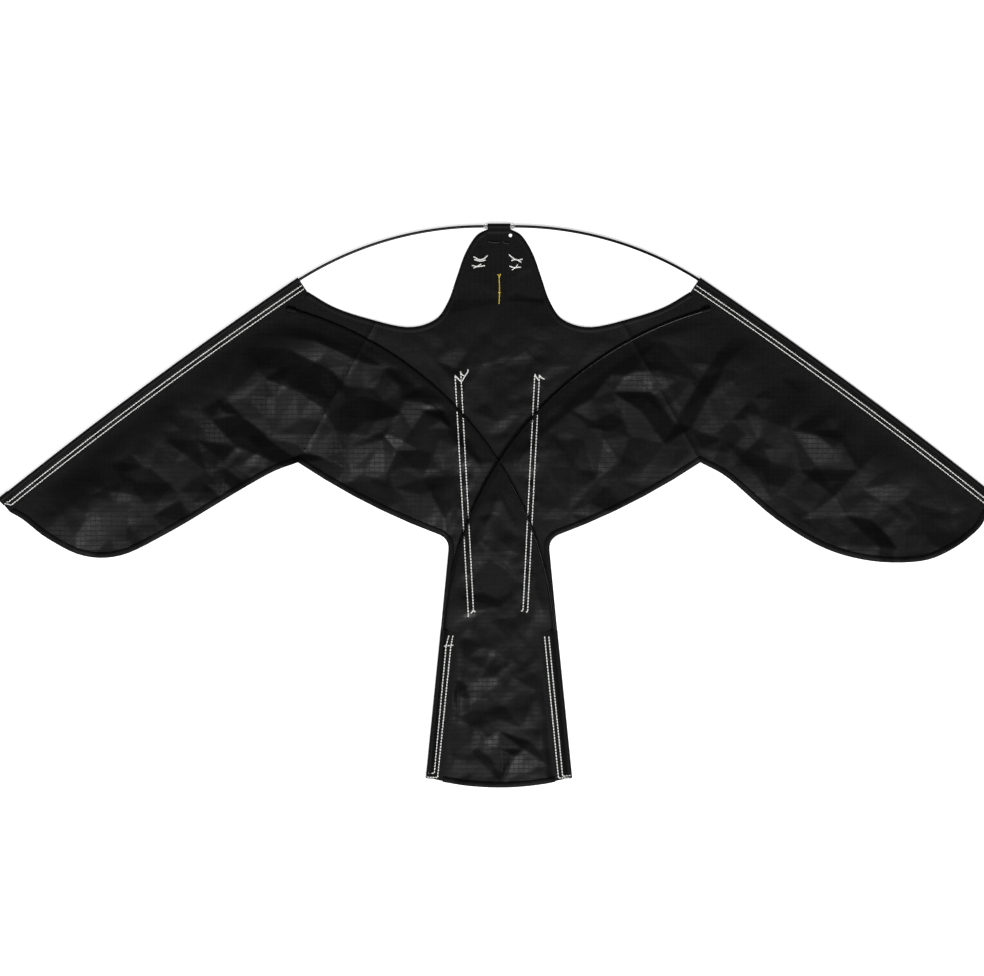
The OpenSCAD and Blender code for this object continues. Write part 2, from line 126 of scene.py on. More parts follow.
# Corners of the facets that the slack cloth of the wings lies in, left and right, with their heights
CORNERS = (
    (-267, 167, 5.5), (-219, 163, 2.5), (-177, 142, 0), (-164, 130, 0), (-243, 193, 6), (-198, 181, 3.7),
    (-156, 155, 3.2), (-245, 133, 6.5), (-211, 119, 6.7), (-186, 102, 4.7), (-299, 154, 7),
    (-287, 115, 2.5), (-272, 95, 0.5), (-240, 71, 0), (-212, 56, 0), (-337, 123, 2.5), (-314, 100, 1.5),
    (-318, 69, 1), (-307, 37, 3.5), (-289, 46, 7), (-276, 62, 6), (-249, 52, 4), (-265, 33, 3.5),
    (-287, 14, 6.5), (-226, 41, 4.5), (-301, 90, 3.5), (-366, 98, 6), (-390, 81, 6.5), (-351, 69, 3),
    (-366, 39, 1.5), (-400, 46, 4.5), (-337, 14, 2.5), (-377, 10, 5), (-423, 19, 6.5), (-459, -9, 6),
    (-414, -41, 1.5), (-385, -19, 2.5), (-434, 46, 6.5), (-471, 14, 6.5), (-442, -36, 4.5),
    (-356, -19, 4.5), (-148, 171, 4.2), (-161, 125, 0.7), (-131, 123, 0.7), (-156, 77, 5), (-122, 69, 5.2),
    (-121, 109, 1.7), (-171, 79, 3.7), (-182, 50, 0.2), (-164, 58, 4.7), (-154, 35, 1.7), (-119, 25, 1.2),
    (-104, 100, 4.7), (-108, 58, 2.7), (-78, 98, 1.7), (-79, 29, 4.7), (-100, 8, 2.2), (-58, 31, 1.2),
    (-62, 69, 3.7), (-66, 1, 4.2), (-89, 132, 4.2), (-56, -15, 3.2), (251, 180, 2.5), (230, 161, 1),
    (211, 130, 1), (192, 98, 1.5), (257, 167, 4.5), (240, 151, 4.7), (219, 115, 4.9), (201, 81, 4.5),
    (266, 140, 2), (255, 100, 1.5), (234, 69, 2.5), (211, 60, 5), (224, 46, 2.5), (295, 132, 1),
    (316, 119, 4), (337, 98, 1.5), (306, 79, 3.5), (285, 46, 1), (270, 31, 3.5), (316, 37, 2),
    (411, 67, 4.5), (352, 10, 4), (390, -15, 0), (421, -45, 0), (474, -9, 0), (444, 35, 2), (426, 6, 0.5),
    (337, 37, 0.5), (364, -11, 1.5), (398, -43, 4), (459, 37, 1.5), (482, 14, 4.5), (497, -3, 2.5),
    (381, 62, 2), (358, 69, 4), (377, 37, 3), (316, -15, 2.5), (285, 6, 2.5), (348, -41, 2.5),
    (453, -41, 3), (140, 161, 2.5), (159, 119, 1.5), (186, 86, 1), (135, 140, 4.5), (148, 100, 4.3),
    (173, 65, 4), (119, 119, 1.5), (110, 69, 4.5), (127, 46, 1.5), (96, 111, 4), (89, 69, 2), (102, 27, 1),
    (77, 37, 4), (75, -5, 2.5), (148, 33, 2.5), (60, 69, 2.5), (70, 119, 3.5), (117, 153, 3),
    (169, 142, 3.5),
)

# Creases of the head, body and tail: start, end and rise of the crest
CREASES = (
    (-48, 202, -28, 245, -1.4), (20, 246, 49, 212, -2.9), (-26, 144, 66, 161, -0.9), (8, 216, 4, 37, -0.4),
    (-33, -37, 4, -35, -0.7), (2, -55, -1, -107, -2.4), (-1, -107, 28, -83, -1), (-41, -223, 7, -192, -1.2),
    (-26, -232, -12, -219, -0.7), (-7, -151, -1, -176, -1.2), (0, -237, 2, -291, -1.9),
    (7, -270, 34, -248, 2.2), (-29, -259, -12, -244, -1.2), (-51, -183, -7, -180, -0.7),
    (12, -164, 52, -186, -1), (16, -135, 49, -153, -1), (5, -217, 43, -215, 1.2), (-55, -194, -30, -204, 1.2),
)

# Share of a crease's rise at shares of its length, and how far its spots keep from other spots
CREST_SHARES = ((0, 0.2), (0.33, 1), (0.67, 1), (1, 0.2))
CREASE_APART = 7

# Scattered spots of the plain and of the crushed cloth: how far apart they are, sway and rise
PLAIN_STEP = 45
PLAIN_SWAY = 30
PLAIN_RISE = 1.5
PLAIN_APART = 0.6 * PLAIN_STEP
CRUSH_STEP = 18
CRUSH_SWAY = 12
CRUSH_RISE = 5
SPOT_SEED = 3
SPOT_GRAIN = 7.3
SPOT_NEAR = 0.01
REACH = 590

# Level at which the flat cloth's noise is read, and height from which faces below are looked for
NOISE_LEVEL = 0.5
OVERHEAD = 50

# Distances over which the cloth comes free of the leading spar, the nose and the tail's sleeves,
# and over which the tail and its sleeved spars begin behind the middle of the kite
SPAR_HOLD = (14, 70)
NOSE_HOLD = (-274, -160)
SLEEVE_HOLD = (14.5, 26)
TAIL_BEGINS = (105, 131)
SLEEVED = (125, 140)
SLEEVED_APART = 40

# Room under the cloth at a crossed spar, and how it grows away from the spar
ROOM_AT_SPAR = 0.6
NEAR_SPAR = 2
FAR_FROM_SPAR = 14
TAUT_SLOPE = 0.03
NEAR_SLOPE = 0.12
FAR_SLOPE = 0.2

# The ridge along a wing's fold, and the most that the cloth rises anywhere
FOLD_RISE = 0.8
FOLD_WIDE = 4.5
HIGHEST = 14

# Sizes and heights of the crushed cloth's waves, crinkles and puckers, and where there are more or fewer
LEFT_SIDE = (0, 60)
LEFT_CRUSH = 0.6
WAVE_SIZE = 40
WAVE_RISE = 0.5
CRINKLE_SIZE = 13
CRINKLE_RISE = 0.12
MIDDLE = (45, 95)
MIDDLE_CRINKLE = 0.5
PUCKER_SIZE = 6.5
PUCKER_RISE = 0.06
STAY_WIDE = 7
STAY_PUCKER = 0.7
LOOSE_OF_SPAR = (2, 16)
HEAD = (130, 200)
HEAD_TAUT = 0.75

# A folded tape's puff and the half width over which it rises
TAPE_PUFF = 0.9
TAPE_HALF = 3

# Points along the bow, the wing and each crossed spar's two lengths, and half the room between the leading
# spars' ends in the tube
BOW_STEPS = 40
WING_STEPS = 24
LOW_STEPS = 30
HIGH_STEPS = 46
HALF_JOIN = 0.15

# Rows of white stitches, in millimetres, by side. A wing row has its depth and where its end turns out to
WING_ROWS = ((6.5, 2.5), (10.8, 4.5))
WING_ROW_START = -11
WING_ROW_END = WING_LEN - 6
WING_ROW_TURN = WING_LEN - 1
WING_ROW_STEPS = 20
STAY_ROWS = {
    "left": (((-46.1, 136.3), (-32.1, -115.5)), ((-40.1, 139.4), (-26.8, -110.1))),
    "right": (((37.5, 137.3), (25.2, -110.1)), ((42.4, 136.3), (30, -111.2))),
}
TAIL_ROWS = {
    "left": (((-52.5, -136), (-55.5, -147), (-68, -281), (-78, -280)),
             ((-48.3, -136), (-50.5, -147), (-64.5, -285.5), (-78.5, -284.5)),
             ((-58, -147.5), (-47.5, -146.5))),
    "right": (((47.8, -137), (62.4, -286), (76.5, -285.5)), ((52.2, -137), (66.8, -284), (75.5, -283))),
}

# Loose white threads: four tacks on the head, then the ends of the stay rows
TACKS = (
    ((-26.8, 261.4), (-21, 258.3), (-15.8, 259.4), (-12.1, 262.5)),
    ((-26.2, 258.3), (-19.9, 256.7), (-14.2, 257.8)),
    ((-28.4, 252), (-22.1, 251), (-14.7, 252)),
    ((-26.8, 249.4), (-22.1, 251.5), (-18.9, 253.6)),
    ((10.5, 263.6), (14.7, 259.9), (19.9, 257.8), (24.7, 258.8)),
    ((13.1, 257.2), (17.9, 258.3), (23.6, 255.2)),
    ((11, 251.5), (15.8, 249.9), (23.1, 250.4)),
    ((13.7, 247.3), (17.9, 250.4), (19.4, 253.1)),
    ((-46.2, 136.5), (-43, 133.3), (-39.4, 130.5), (-35.7, 136), (-33, 140.2), (-32.5, 142.8)),
    ((-40.4, 140.7), (-39.4, 138), (-36.2, 136)),
    ((37.8, 138), (38.9, 135), (42, 131.2)),
    ((42, 137), (45.2, 133.9), (47.8, 132.8)),
    ((-26.9, -109.6), (-29.4, -113)),
    ((-26.9, -109.6), (-25, -111.5)),
    ((25.2, -110), (23.2, -110.5)),
    ((30, -111), (28.3, -111.8)),
    ((-32, -114), (-32.6, -116.5)),
)
TACK_R = 0.7
YELLOW_STROKES = (((-1.6, 242.6), (0, 239.9), (0.5, 224.2), (0, 211.6)), ((1.6, 243.1), (0.3, 239.4)))
YELLOW_R = 0.6
YELLOW_KNOT = (0.3, 223.7)
KNOT_R = 1.3
LOOP_TACKS = (((-11.5, 277.4), (-6, 276), (0.5, 276.2)), ((3.5, 277.5), (6, 275.5), (10.5, 275)))
LOOP_TACK_R = 0.8

# Half thickness of a stitch, how far its middle stands above the cloth, and points in each part of a thread
STITCH_HALF = 0.45
STITCH_RISE = 0.1
THREAD_STEPS = 6
THREAD_SIDES = 8

# Tolerances of the mesh work
SHARP = math.radians(50)
LEVEL = math.radians(0.5)
MERGE = 0.002 * MM
CUT_NEAR = 1e-7
FOLD_NEAR = 0.02
TOP_NEAR = 0.001
RIM_ANGLE = 1

# The studio, in metres
FLOOR_HALF = 6
FLOOR_DROP = 0.05 * MM
KEY_AT = (1.35, -4.05, 5.5)
KEY_SIZE = 3.2
FILL_AT = (-2.0, -0.65, 2.4)
FILL_SIZE = 0.5
CAMERA_X = -7.35 * MM
CAMERA_Y = 18.4 * MM

# Width of the view in pixels, and what one pixel measures at the kite
PHOTO_WIDE = 984
PIXEL = 1.05 * MM


def linear(hex_code):
    """An sRGB hex colour as linear red, green and blue."""
    values = [int(hex_code[i:i + 2], 16) / 255 for i in (1, 3, 5)]
    return tuple(v / 12.92 if v <= 0.04045 else ((v + 0.055) / 1.055) ** 2.4 for v in values)


class KiteCloth(bpy.types.PropertyGroup):
    """Sizes and colours of the sail, tapes and sleeves"""
    cell: FloatProperty(name="Cell", description="Size of the cloth's mesh cells",
                        default=1.8 * MM, min=1 * MM, unit="LENGTH")
    tape_cell: FloatProperty(name="Tape cell", description="Size of the tapes' mesh cells",
                             default=1.5 * MM, min=1 * MM, unit="LENGTH")
    relief: FloatProperty(name="Relief", description="Share of the crease heights",
                          default=1.65, min=0, max=2)
    crush: FloatProperty(name="Crush", description="Share of the small creases' heights",
                         default=0.5, min=0, max=2)
    grid_across: FloatProperty(name="Grid across", description="Spacing of the ripstop's upright threads",
                               default=5.4 * MM, unit="LENGTH")
    grid_along: FloatProperty(name="Grid along", description="Spacing of the ripstop's level threads",
                              default=5.1 * MM, unit="LENGTH")
    ripstop: FloatVectorProperty(name="Ripstop", description="Colour of the sail", subtype="COLOR",
                                 default=linear("#080808"))
    # The thick threads' darker colour is painted shade, standing in for their shadow and weaker sheen
    shaded_ripstop_line: FloatVectorProperty(name="Ripstop line", description="Colour of the sail's thick threads",
                                      subtype="COLOR", default=linear("#010101"))
    tape: FloatVectorProperty(name="Tape", description="Colour of the tapes and sleeves", subtype="COLOR",
                              default=linear("#050505"))


class KiteThread(bpy.types.PropertyGroup):
    """Sizes and colours of the sewing"""
    pitch: FloatProperty(name="Pitch", description="Length of one stitch", default=3.1 * MM, unit="LENGTH")
    width: FloatProperty(name="Width", description="Width of one stitch", default=1.5 * MM, unit="LENGTH")
    white: FloatVectorProperty(name="White thread", description="Colour of the seams", subtype="COLOR",
                               default=linear("#e6e6e3"))
    yellow: FloatVectorProperty(name="Yellow thread", description="Colour of the knotted thread",
                                subtype="COLOR", default=linear("#c9b24a"))
    black: FloatVectorProperty(name="Black thread", description="Colour of the tapes' seams", subtype="COLOR",
                               default=linear("#0c0c0d"))


class KiteRods(bpy.types.PropertyGroup):
    """Finish of the rods, caps and tube"""
    sides: IntProperty(name="Sides", description="Sides of a round rod", default=16, min=8, max=48)
    fibreglass: FloatVectorProperty(name="Fibreglass", description="Colour of the rods", subtype="COLOR",
                                    default=linear("#0b0b0c"))
    tube: FloatVectorProperty(name="Tube", description="Colour of the joining tube", subtype="COLOR",
                              default=linear("#eef1ef"))
    rubber: FloatVectorProperty(name="Rubber", description="Colour of the end caps", subtype="COLOR",
                                default=linear("#131314"))


class KiteStudio(bpy.types.PropertyGroup):
    """Camera and light"""
    distance: FloatProperty(name="Distance", description="Height of the camera over the kite", default=4.0,
                            unit="LENGTH")
    view_width: FloatProperty(name="View width", description="Width that the camera sees at the kite",
                              default=PHOTO_WIDE * PIXEL, unit="LENGTH")
    key: FloatProperty(name="Key", description="Power of the light beyond the tail",
                       default=530, subtype="POWER")
    fill: FloatProperty(name="Fill", description="Power of the light at the left",
                        default=22, subtype="POWER")
    sky: FloatProperty(name="Sky", description="Strength of the light from all round", default=0.08, min=0)


def mirrored(points):
    """The same points on the other side of the centre line."""
    return points * np.array((-1, 1))


def ramp(values, low, high):
    """Rises smoothly from 0 at low to 1 at high."""
    share = np.clip((values - low) / (high - low), 0, 1)
    return share * share * (3 - 2 * share)


def noise_at(points, size):
    """Smooth noise with features of the given size."""
    return np.array([noise.noise(Vector((x / size, y / size, NOISE_LEVEL))) for x, y in points])


def scattered(step, sway, rise):
    """Spots all over the cloth, about a step apart, with heights that vary by the rise."""
    spots = []
    for x in range(-REACH, REACH + 1, step):
        for y in range(-REACH, REACH + 1, step):
            push = noise.noise_vector(Vector((x / SPOT_GRAIN, y / SPOT_GRAIN, NOISE_LEVEL)))
            spots.append((x + sway * push.x, y + sway * push.y, rise * push.z))
    return spots


def creased():
    """The spots that the slack cloth's facets run between: corners, creases and plain cloth between them."""
    spots = list(CORNERS)
    for x1, y1, x2, y2, crest in CREASES:
        for share, part in CREST_SHARES:
            place = (x1 + share * (x2 - x1), y1 + share * (y2 - y1))
            if all(math.dist(place, spot[:2]) > CREASE_APART for spot in spots):
                spots.append((*place, PLAIN_RISE + crest * part))
    placed = np.array(spots)[:, :2]
    for x, y, rise in scattered(PLAIN_STEP, PLAIN_SWAY, PLAIN_RISE):
        if np.min(np.linalg.norm(placed - (x, y), axis=1)) > PLAIN_APART:
            spots.append((x, y, PLAIN_RISE + rise))
    return spots


def facets(spots):
    """Flat facets between spots, as a tree to look heights up in."""
    places = [Vector(spot[:2]) for spot in spots]
    corners, _, faces, sources, _, _ = geometry.delaunay_2d_cdt(places, [], [], 0, SPOT_NEAR)
    corners = [(*corner, spots[source[0]][2]) for corner, source in zip(corners, sources)]
    return bvhtree.BVHTree.FromPolygons(corners, faces)


# The scattered spots fall in the same places each time
noise.seed_set(SPOT_SEED)
SLACK = facets(creased())
CRUSHED = facets(scattered(CRUSH_STEP, CRUSH_SWAY, CRUSH_RISE))


def height_on(tree, points):
    """Height of a tree of faces, at points in millimetres, or the sail's where there is none."""
    down = Vector((0, 0, -1))
    hits = [tree.ray_cast(Vector((x, y, OVERHEAD)), down)[0] for x, y in points]
    return np.array([hit.z if hit else SAIL_TOP for hit in hits])


def row_distance(points, x1, y1, x2, y2):
    """Distance of points from a straight row."""
    start, run = np.array((x1, y1)), np.array((x2 - x1, y2 - y1), float)
    share = np.clip((points - start) @ run / (run @ run), 0, 1)
    return np.linalg.norm(points - start - share[:, None] * run, axis=1)


def lift(points):
    """How far the laid cloth stands above its flat layer, at points in millimetres."""
    cloth = bpy.context.scene.kite_cloth
    x, y = points.T
    right = np.column_stack((np.abs(x), y))
    wing_depth = WING_R - np.linalg.norm(right - WING_CENTRE, axis=1)
    tail_depth = (right - TAIL_HEAD) @ TAIL_IN
    held = ramp(wing_depth, *SPAR_HOLD) * ramp(-y, *NOSE_HOLD)
    held *= 1 - ramp(-y, *TAIL_BEGINS) * (1 - ramp(tail_depth, *SLEEVE_HOLD))
    # The crossed spars hold the cloth down beside them, except in the tail, where they are in sleeves
    beyond = [np.linalg.norm(p - CROSS_CENTRE, axis=1) - CROSS_R for p in (points, mirrored(points))]
    apart = np.minimum(*np.abs(beyond)) + SLEEVED_APART * ramp(-y, *SLEEVED)
    # The cloth is taut between the spars and the shoulders and slack behind them
    taut = np.minimum(*beyond) > 0
    room = ROOM_AT_SPAR + np.where(taut, TAUT_SLOPE, NEAR_SLOPE) * np.maximum(apart - NEAR_SPAR, 0)
    room += np.where(taut, 0, FAR_SLOPE) * np.maximum(apart - FAR_FROM_SPAR, 0)
    slack = np.minimum(cloth.relief * height_on(SLACK, points), room)
    slack += FOLD_RISE * np.maximum(1 - np.abs((right - ARMPIT) @ FOLD_OUT) / FOLD_WIDE, 0)
    # The left side is crushed more than the right, the middle is crinkled and the stays pucker the cloth
    crush = cloth.crush * (1 + LEFT_CRUSH * ramp(-x, *LEFT_SIDE)) * height_on(CRUSHED, points)
    crush += WAVE_RISE * noise_at(points, WAVE_SIZE)
    middle = 1 - ramp(right[:, 0], *MIDDLE)
    crush += (CRINKLE_RISE + MIDDLE_CRINKLE * middle) * noise_at(points, CRINKLE_SIZE)
    pucker = sum(np.exp(-(row_distance(points, *row) / STAY_WIDE) ** 2) for row in STAYS)
    crush += (PUCKER_RISE + STAY_PUCKER * pucker) * noise_at(points, PUCKER_SIZE)
    loose = ramp(apart, *LOOSE_OF_SPAR) * (1 - HEAD_TAUT * ramp(y, *HEAD))
    return np.clip(slack + loose * crush, 0, HIGHEST) * held


def add_piece(name, mesh, material):
    """Makes an object of a finished bmesh."""
    for edge in mesh.edges:
        edge.smooth = edge.calc_face_angle(0) < SHARP
    for face in mesh.faces:
        face.smooth = True
    data = bpy.data.meshes.new(name)
    mesh.to_mesh(data)
    mesh.free()
    data.materials.append(bpy.data.materials[material])
    piece = bpy.data.objects.new(name, data)
    bpy.context.scene.collection.objects.link(piece)
    return piece


def node_copy(node):
    """The merged mesh of a CAD node."""
    mesh = bmesh.new()
    mesh.from_mesh(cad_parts[node].data)
    bmesh.ops.remove_doubles(mesh, verts=mesh.verts, dist=MERGE)
    return mesh


def cut_along(mesh, normal, spacing):
    """Cuts a mesh by parallel planes, each through what lies ahead of the one before."""
    normal = Vector(normal)
    reach = [v.co.dot(normal) for v in mesh.verts]
    ahead = mesh.faces[:]
    for k in range(math.floor(min(reach) / spacing) + 1, math.ceil(max(reach) / spacing)):
        verts = dict.fromkeys(v for f in ahead for v in f.verts)
        edges = dict.fromkeys(e for f in ahead for e in f.edges)
        cut = bmesh.ops.bisect_plane(mesh, geom=[*verts, *edges, *ahead], dist=CUT_NEAR,
                                     plane_co=normal * k * spacing, plane_no=normal)
        ahead = [f for f in cut["geom"] if isinstance(f, bmesh.types.BMFace)
                 and f.calc_center_median().dot(normal) > k * spacing]


def flat_cloth(node, cell):
    """A flat CAD node as cloth that can bend: its mesh, cut into cells."""
    mesh = node_copy(node)
    bmesh.ops.dissolve_limit(mesh, angle_limit=LEVEL, verts=mesh.verts, edges=mesh.edges)
    cut_along(mesh, (1, 0, 0), cell)
    cut_along(mesh, (0, 1, 0), cell)
    return mesh


def on_fold(place):
    """Whether a point lies on a fold between two bodies."""
    out = (np.array((abs(place.x), place.y)) / MM - ARMPIT) @ FOLD_OUT
    return abs(out) < FOLD_NEAR or abs(place.y / MM - TAIL_FOLD_Y) < FOLD_NEAR


def close_folds(mesh):
    """Moves the edges along the folds and beside the nose loop, so that the cloth runs through."""
    for vert in mesh.verts:
        place = np.array((abs(vert.co.x), vert.co.y)) / MM
        out = (place - ARMPIT) @ FOLD_OUT
        if abs(abs(out) - FOLD_HALF_GAP) < FOLD_NEAR:
            vert.co.x -= math.copysign(1, vert.co.x) * out * FOLD_OUT[0] * MM
            vert.co.y -= out * FOLD_OUT[1] * MM
        beside_fold = abs(abs(place[1] - TAIL_FOLD_Y) - TAIL_HALF_GAP) < FOLD_NEAR
        at_sleeve_end = abs((place - TAIL_HEAD) @ TAIL_DOWN) < SLEEVE_END
        in_sleeve = (place - TAIL_HEAD) @ TAIL_IN < SLEEVE_WIDE
        if beside_fold or (at_sleeve_end and in_sleeve):
            vert.co.y = TAIL_FOLD_Y * MM
        if place[1] > LOOP_LOW and abs(place[0] - LOOP_HALF - LOOP_ROOM) < FOLD_NEAR:
            vert.co.x = math.copysign(LOOP_HALF * MM, vert.co.x)


def drape(mesh):
    """Lifts a cloth mesh to the laid cloth's shape."""
    points = np.array([v.co[:2] for v in mesh.verts]) / MM
    for vert, rise in zip(mesh.verts, lift(points)):
        vert.co.z += rise * MM


def crown(mesh, height, half_width):
    """Raises the middle of a folded tape, which is puffed up between its edges."""
    top = (SLEEVE_TOP - TOP_NEAR) * MM
    rim = [v.co for v in mesh.verts if v.co.z > top and not on_fold(v.co)
           and any(e.calc_face_angle(0) > RIM_ANGLE for e in v.link_edges)]
    tree = kdtree.KDTree(len(rim))
    for i, place in enumerate(rim):
        tree.insert(place, i)
    tree.balance()
    for vert in mesh.verts:
        if vert.co.z > top:
            share = min(tree.find(vert.co)[2] / half_width, 1)
            vert.co.z += height * (1 - (1 - share) ** 2)


def follow(piece, body):
    """Lets a piece ride on the body, or bakes its place into its mesh for a wing or the tail."""
    if body == "body":
        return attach(piece, body)
    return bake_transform(piece)


def dress(piece, node, body):
    """Sets a piece in the place of a CAD node."""
    follow(piece, body)
    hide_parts(node)
    return piece


def ring_edges(ring):
    """The edges between the points of a ring."""
    return list(dict.fromkeys(e for v in ring for e in v.link_edges if e.other_vert(v) in ring))


def sweep(mesh, path, radius, sides):
    """A round bar along a path of points in millimetres, made by drawing a ring out from point to point."""
    path = [Vector(p) * MM for p in path]
    last = len(path) - 1
    ring = bmesh.ops.create_circle(mesh, cap_ends=True, radius=radius * MM, segments=sides)["verts"]
    placed = Matrix.Identity(4)
    for i, point in enumerate(path):
        heading = (path[min(i + 1, last)] - path[max(i - 1, 0)]).normalized()
        place = Matrix.Translation(point) @ heading.to_track_quat("Z", "Y").to_matrix().to_4x4()
        if i > 0:
            drawn = bmesh.ops.extrude_edge_only(mesh, edges=ring_edges(ring))["geom"]
            ring = [v for v in drawn if isinstance(v, bmesh.types.BMVert)]
        bmesh.ops.transform(mesh, matrix=place @ placed.inverted(), verts=ring)
        placed = place
    bmesh.ops.contextual_create(mesh, geom=ring_edges(ring))
    bmesh.ops.recalc_face_normals(mesh, faces=mesh.faces)


def add_node(tree, kind, settings=(), inputs=()):
    """Adds a node with its settings, and its inputs as values or links."""
    made = tree.nodes.new(kind)
    for name, value in dict(settings).items():
        setattr(made, name, value)
    for name, value in dict(inputs).items():
        if isinstance(value, bpy.types.NodeSocket):
            tree.links.new(value, made.inputs[name])
        else:
            made.inputs[name].default_value = value
    return made


def per(size):
    """Scale of a pattern whose features have a size in millimetres."""
    return 1 / (size * MM)


def new_material(name):
    """An empty material with its node tree and its shader."""
    material = bpy.data.materials.new(name)
    material.use_nodes = True
    return material.node_tree, material.node_tree.nodes["Principled BSDF"]


def make_ripstop():
    """Coated ripstop polyester: a calendered face with a satin shine, crossed by thicker, duller threads
    whose darker colour is painted shade.
    """
    cloth = bpy.context.scene.kite_cloth
    tree, shader = new_material("ripstop polyester")
    place = add_node(tree, "ShaderNodeTexCoord").outputs["Object"]
    # The grid wanders by up to 2.2 mm over about 45 mm
    sway = add_node(tree, "ShaderNodeTexNoise", inputs={"Vector": place, "Scale": per(45.5), "Detail": 2})
    moved = add_node(tree, "ShaderNodeVectorMath", {"operation": "SCALE"},
                     {0: sway.outputs["Color"], "Scale": 2.2 * MM})
    swayed = add_node(tree, "ShaderNodeVectorMath", {"operation": "ADD"}, {0: place, 1: moved.outputs[0]})
    axes = add_node(tree, "ShaderNodeSeparateXYZ", inputs={0: swayed.outputs[0]})
    lines = []
    for axis, spacing, weight in (("X", cloth.grid_across, 0.5), ("Y", cloth.grid_along, 1)):
        count = add_node(tree, "ShaderNodeMath", {"operation": "DIVIDE"}, {0: axes.outputs[axis], 1: spacing})
        wave = add_node(tree, "ShaderNodeMath", {"operation": "PINGPONG"}, {0: count.outputs[0], 1: 0.5})
        lines.append(add_node(tree, "ShaderNodeMapRange", {"interpolation_type": "SMOOTHSTEP"},
                              {"Value": wave.outputs[0], "From Min": 0.03, "From Max": 0.13,
                               "To Min": weight, "To Max": 0}))
    line = add_node(tree, "ShaderNodeMath", {"operation": "MAXIMUM"},
                    {0: lines[0].outputs[0], 1: lines[1].outputs[0]}).outputs[0]
    # The coating is worn in patches of about 17 mm
    worn = add_node(tree, "ShaderNodeTexNoise",
                    inputs={"Vector": place, "Scale": per(16.7), "Detail": 5, "Roughness": 0.6})
    tone = add_node(tree, "ShaderNodeMapRange",
                    inputs={"Value": worn.outputs[0], "From Min": 0.35, "From Max": 0.65,
                            "To Min": 0.75, "To Max": 1.25})
    # The thick threads are painted darker: painted shade for their shadow and weaker sheen
    base = add_node(tree, "ShaderNodeMix", {"data_type": "RGBA"},
                    {0: line, 6: (*cloth.ripstop, 1), 7: (*cloth.shaded_ripstop_line, 1)})
    colour = add_node(tree, "ShaderNodeMix", {"data_type": "RGBA", "blend_type": "MULTIPLY"},
                      {0: 1.0, 6: base.outputs[2], 7: tone.outputs[0]})
    rough = add_node(tree, "ShaderNodeMapRange", inputs={"Value": line, "To Min": 0.43, "To Max": 0.68})
    # Threads of 0.3 mm are too fine to show, so the weave is drawn at 1.2 mm, and crumples at about 7 mm
    weave = add_node(tree, "ShaderNodeTexChecker", inputs={"Vector": place, "Scale": per(1.2)})
    crumple = add_node(tree, "ShaderNodeTexNoise",
                       inputs={"Vector": place, "Scale": per(7.14), "Detail": 4, "Roughness": 0.55})
    bump = add_node(tree, "ShaderNodeBump",
                    inputs={"Height": crumple.outputs[0], "Strength": 0.25, "Distance": 1 * MM})
    fine = add_node(tree, "ShaderNodeBump",
                    inputs={"Height": weave.outputs["Fac"], "Strength": 0.06, "Distance": 0.2 * MM,
                            "Normal": bump.outputs[0]})
    tree.links.new(colour.outputs[2], shader.inputs["Base Color"])
    tree.links.new(rough.outputs[0], shader.inputs["Roughness"])
    tree.links.new(fine.outputs[0], shader.inputs["Normal"])
    shader.inputs["Specular IOR Level"].default_value = 0.18


def make_tape():
    """Woven polyester tape and sleeve cloth: a plain dense weave, duller than the sail."""
    cloth = bpy.context.scene.kite_cloth
    tree, shader = new_material("woven polyester tape")
    place = add_node(tree, "ShaderNodeTexCoord").outputs["Object"]
    # Mottled by handling, in patches of about 11 mm
    mottle = add_node(tree, "ShaderNodeTexNoise",
                      inputs={"Vector": place, "Scale": per(11.1), "Detail": 5, "Roughness": 0.65})
    tone = add_node(tree, "ShaderNodeMapRange",
                    inputs={"Value": mottle.outputs[0], "From Min": 0.3, "From Max": 0.7,
                            "To Min": 0.6, "To Max": 1.5})
    colour = add_node(tree, "ShaderNodeMix", {"data_type": "RGBA", "blend_type": "MULTIPLY"},
                      {0: 1.0, 6: (*cloth.tape, 1), 7: tone.outputs[0]})
    # The weave's 0.4 mm threads are drawn at 1.4 mm
    weave = add_node(tree, "ShaderNodeTexChecker", inputs={"Vector": place, "Scale": per(1.4)})
    height = add_node(tree, "ShaderNodeMath", {"operation": "MULTIPLY_ADD"},
                      {0: weave.outputs["Fac"], 1: 0.15, 2: mottle.outputs[0]})
    bump = add_node(tree, "ShaderNodeBump",
                    inputs={"Height": height.outputs[0], "Strength": 0.4, "Distance": 1 * MM})
    rough = add_node(tree, "ShaderNodeMapRange",
                     inputs={"Value": mottle.outputs[0], "To Min": 0.5, "To Max": 0.7})
    tree.links.new(colour.outputs[2], shader.inputs["Base Color"])
    tree.links.new(rough.outputs[0], shader.inputs["Roughness"])
    tree.links.new(bump.outputs[0], shader.inputs["Normal"])
    shader.inputs["Specular IOR Level"].default_value = 0.14


def make_thread(name, colour):
    """Twisted polyester thread: soft plies that catch light on their edges."""
    tree, shader = new_material(name)
    place = add_node(tree, "ShaderNodeTexCoord").outputs["Object"]
    # Plies of 0.3 mm are too fine to show, so they are drawn at 1.1 mm
    plies = add_node(tree, "ShaderNodeTexNoise", inputs={"Vector": place, "Scale": per(1.11), "Detail": 2})
    tone = add_node(tree, "ShaderNodeMapRange",
                    inputs={"Value": plies.outputs[0], "From Min": 0.3, "From Max": 0.7,
                            "To Min": 0.8, "To Max": 1.1})
    shade = add_node(tree, "ShaderNodeMix", {"data_type": "RGBA", "blend_type": "MULTIPLY"},
                     {0: 1.0, 6: (*colour, 1), 7: tone.outputs[0]})
    bump = add_node(tree, "ShaderNodeBump",
                    inputs={"Height": plies.outputs[0], "Strength": 0.5, "Distance": 0.2 * MM})
    tree.links.new(shade.outputs[2], shader.inputs["Base Color"])
    tree.links.new(bump.outputs[0], shader.inputs["Normal"])
    shader.inputs["Roughness"].default_value = 0.7


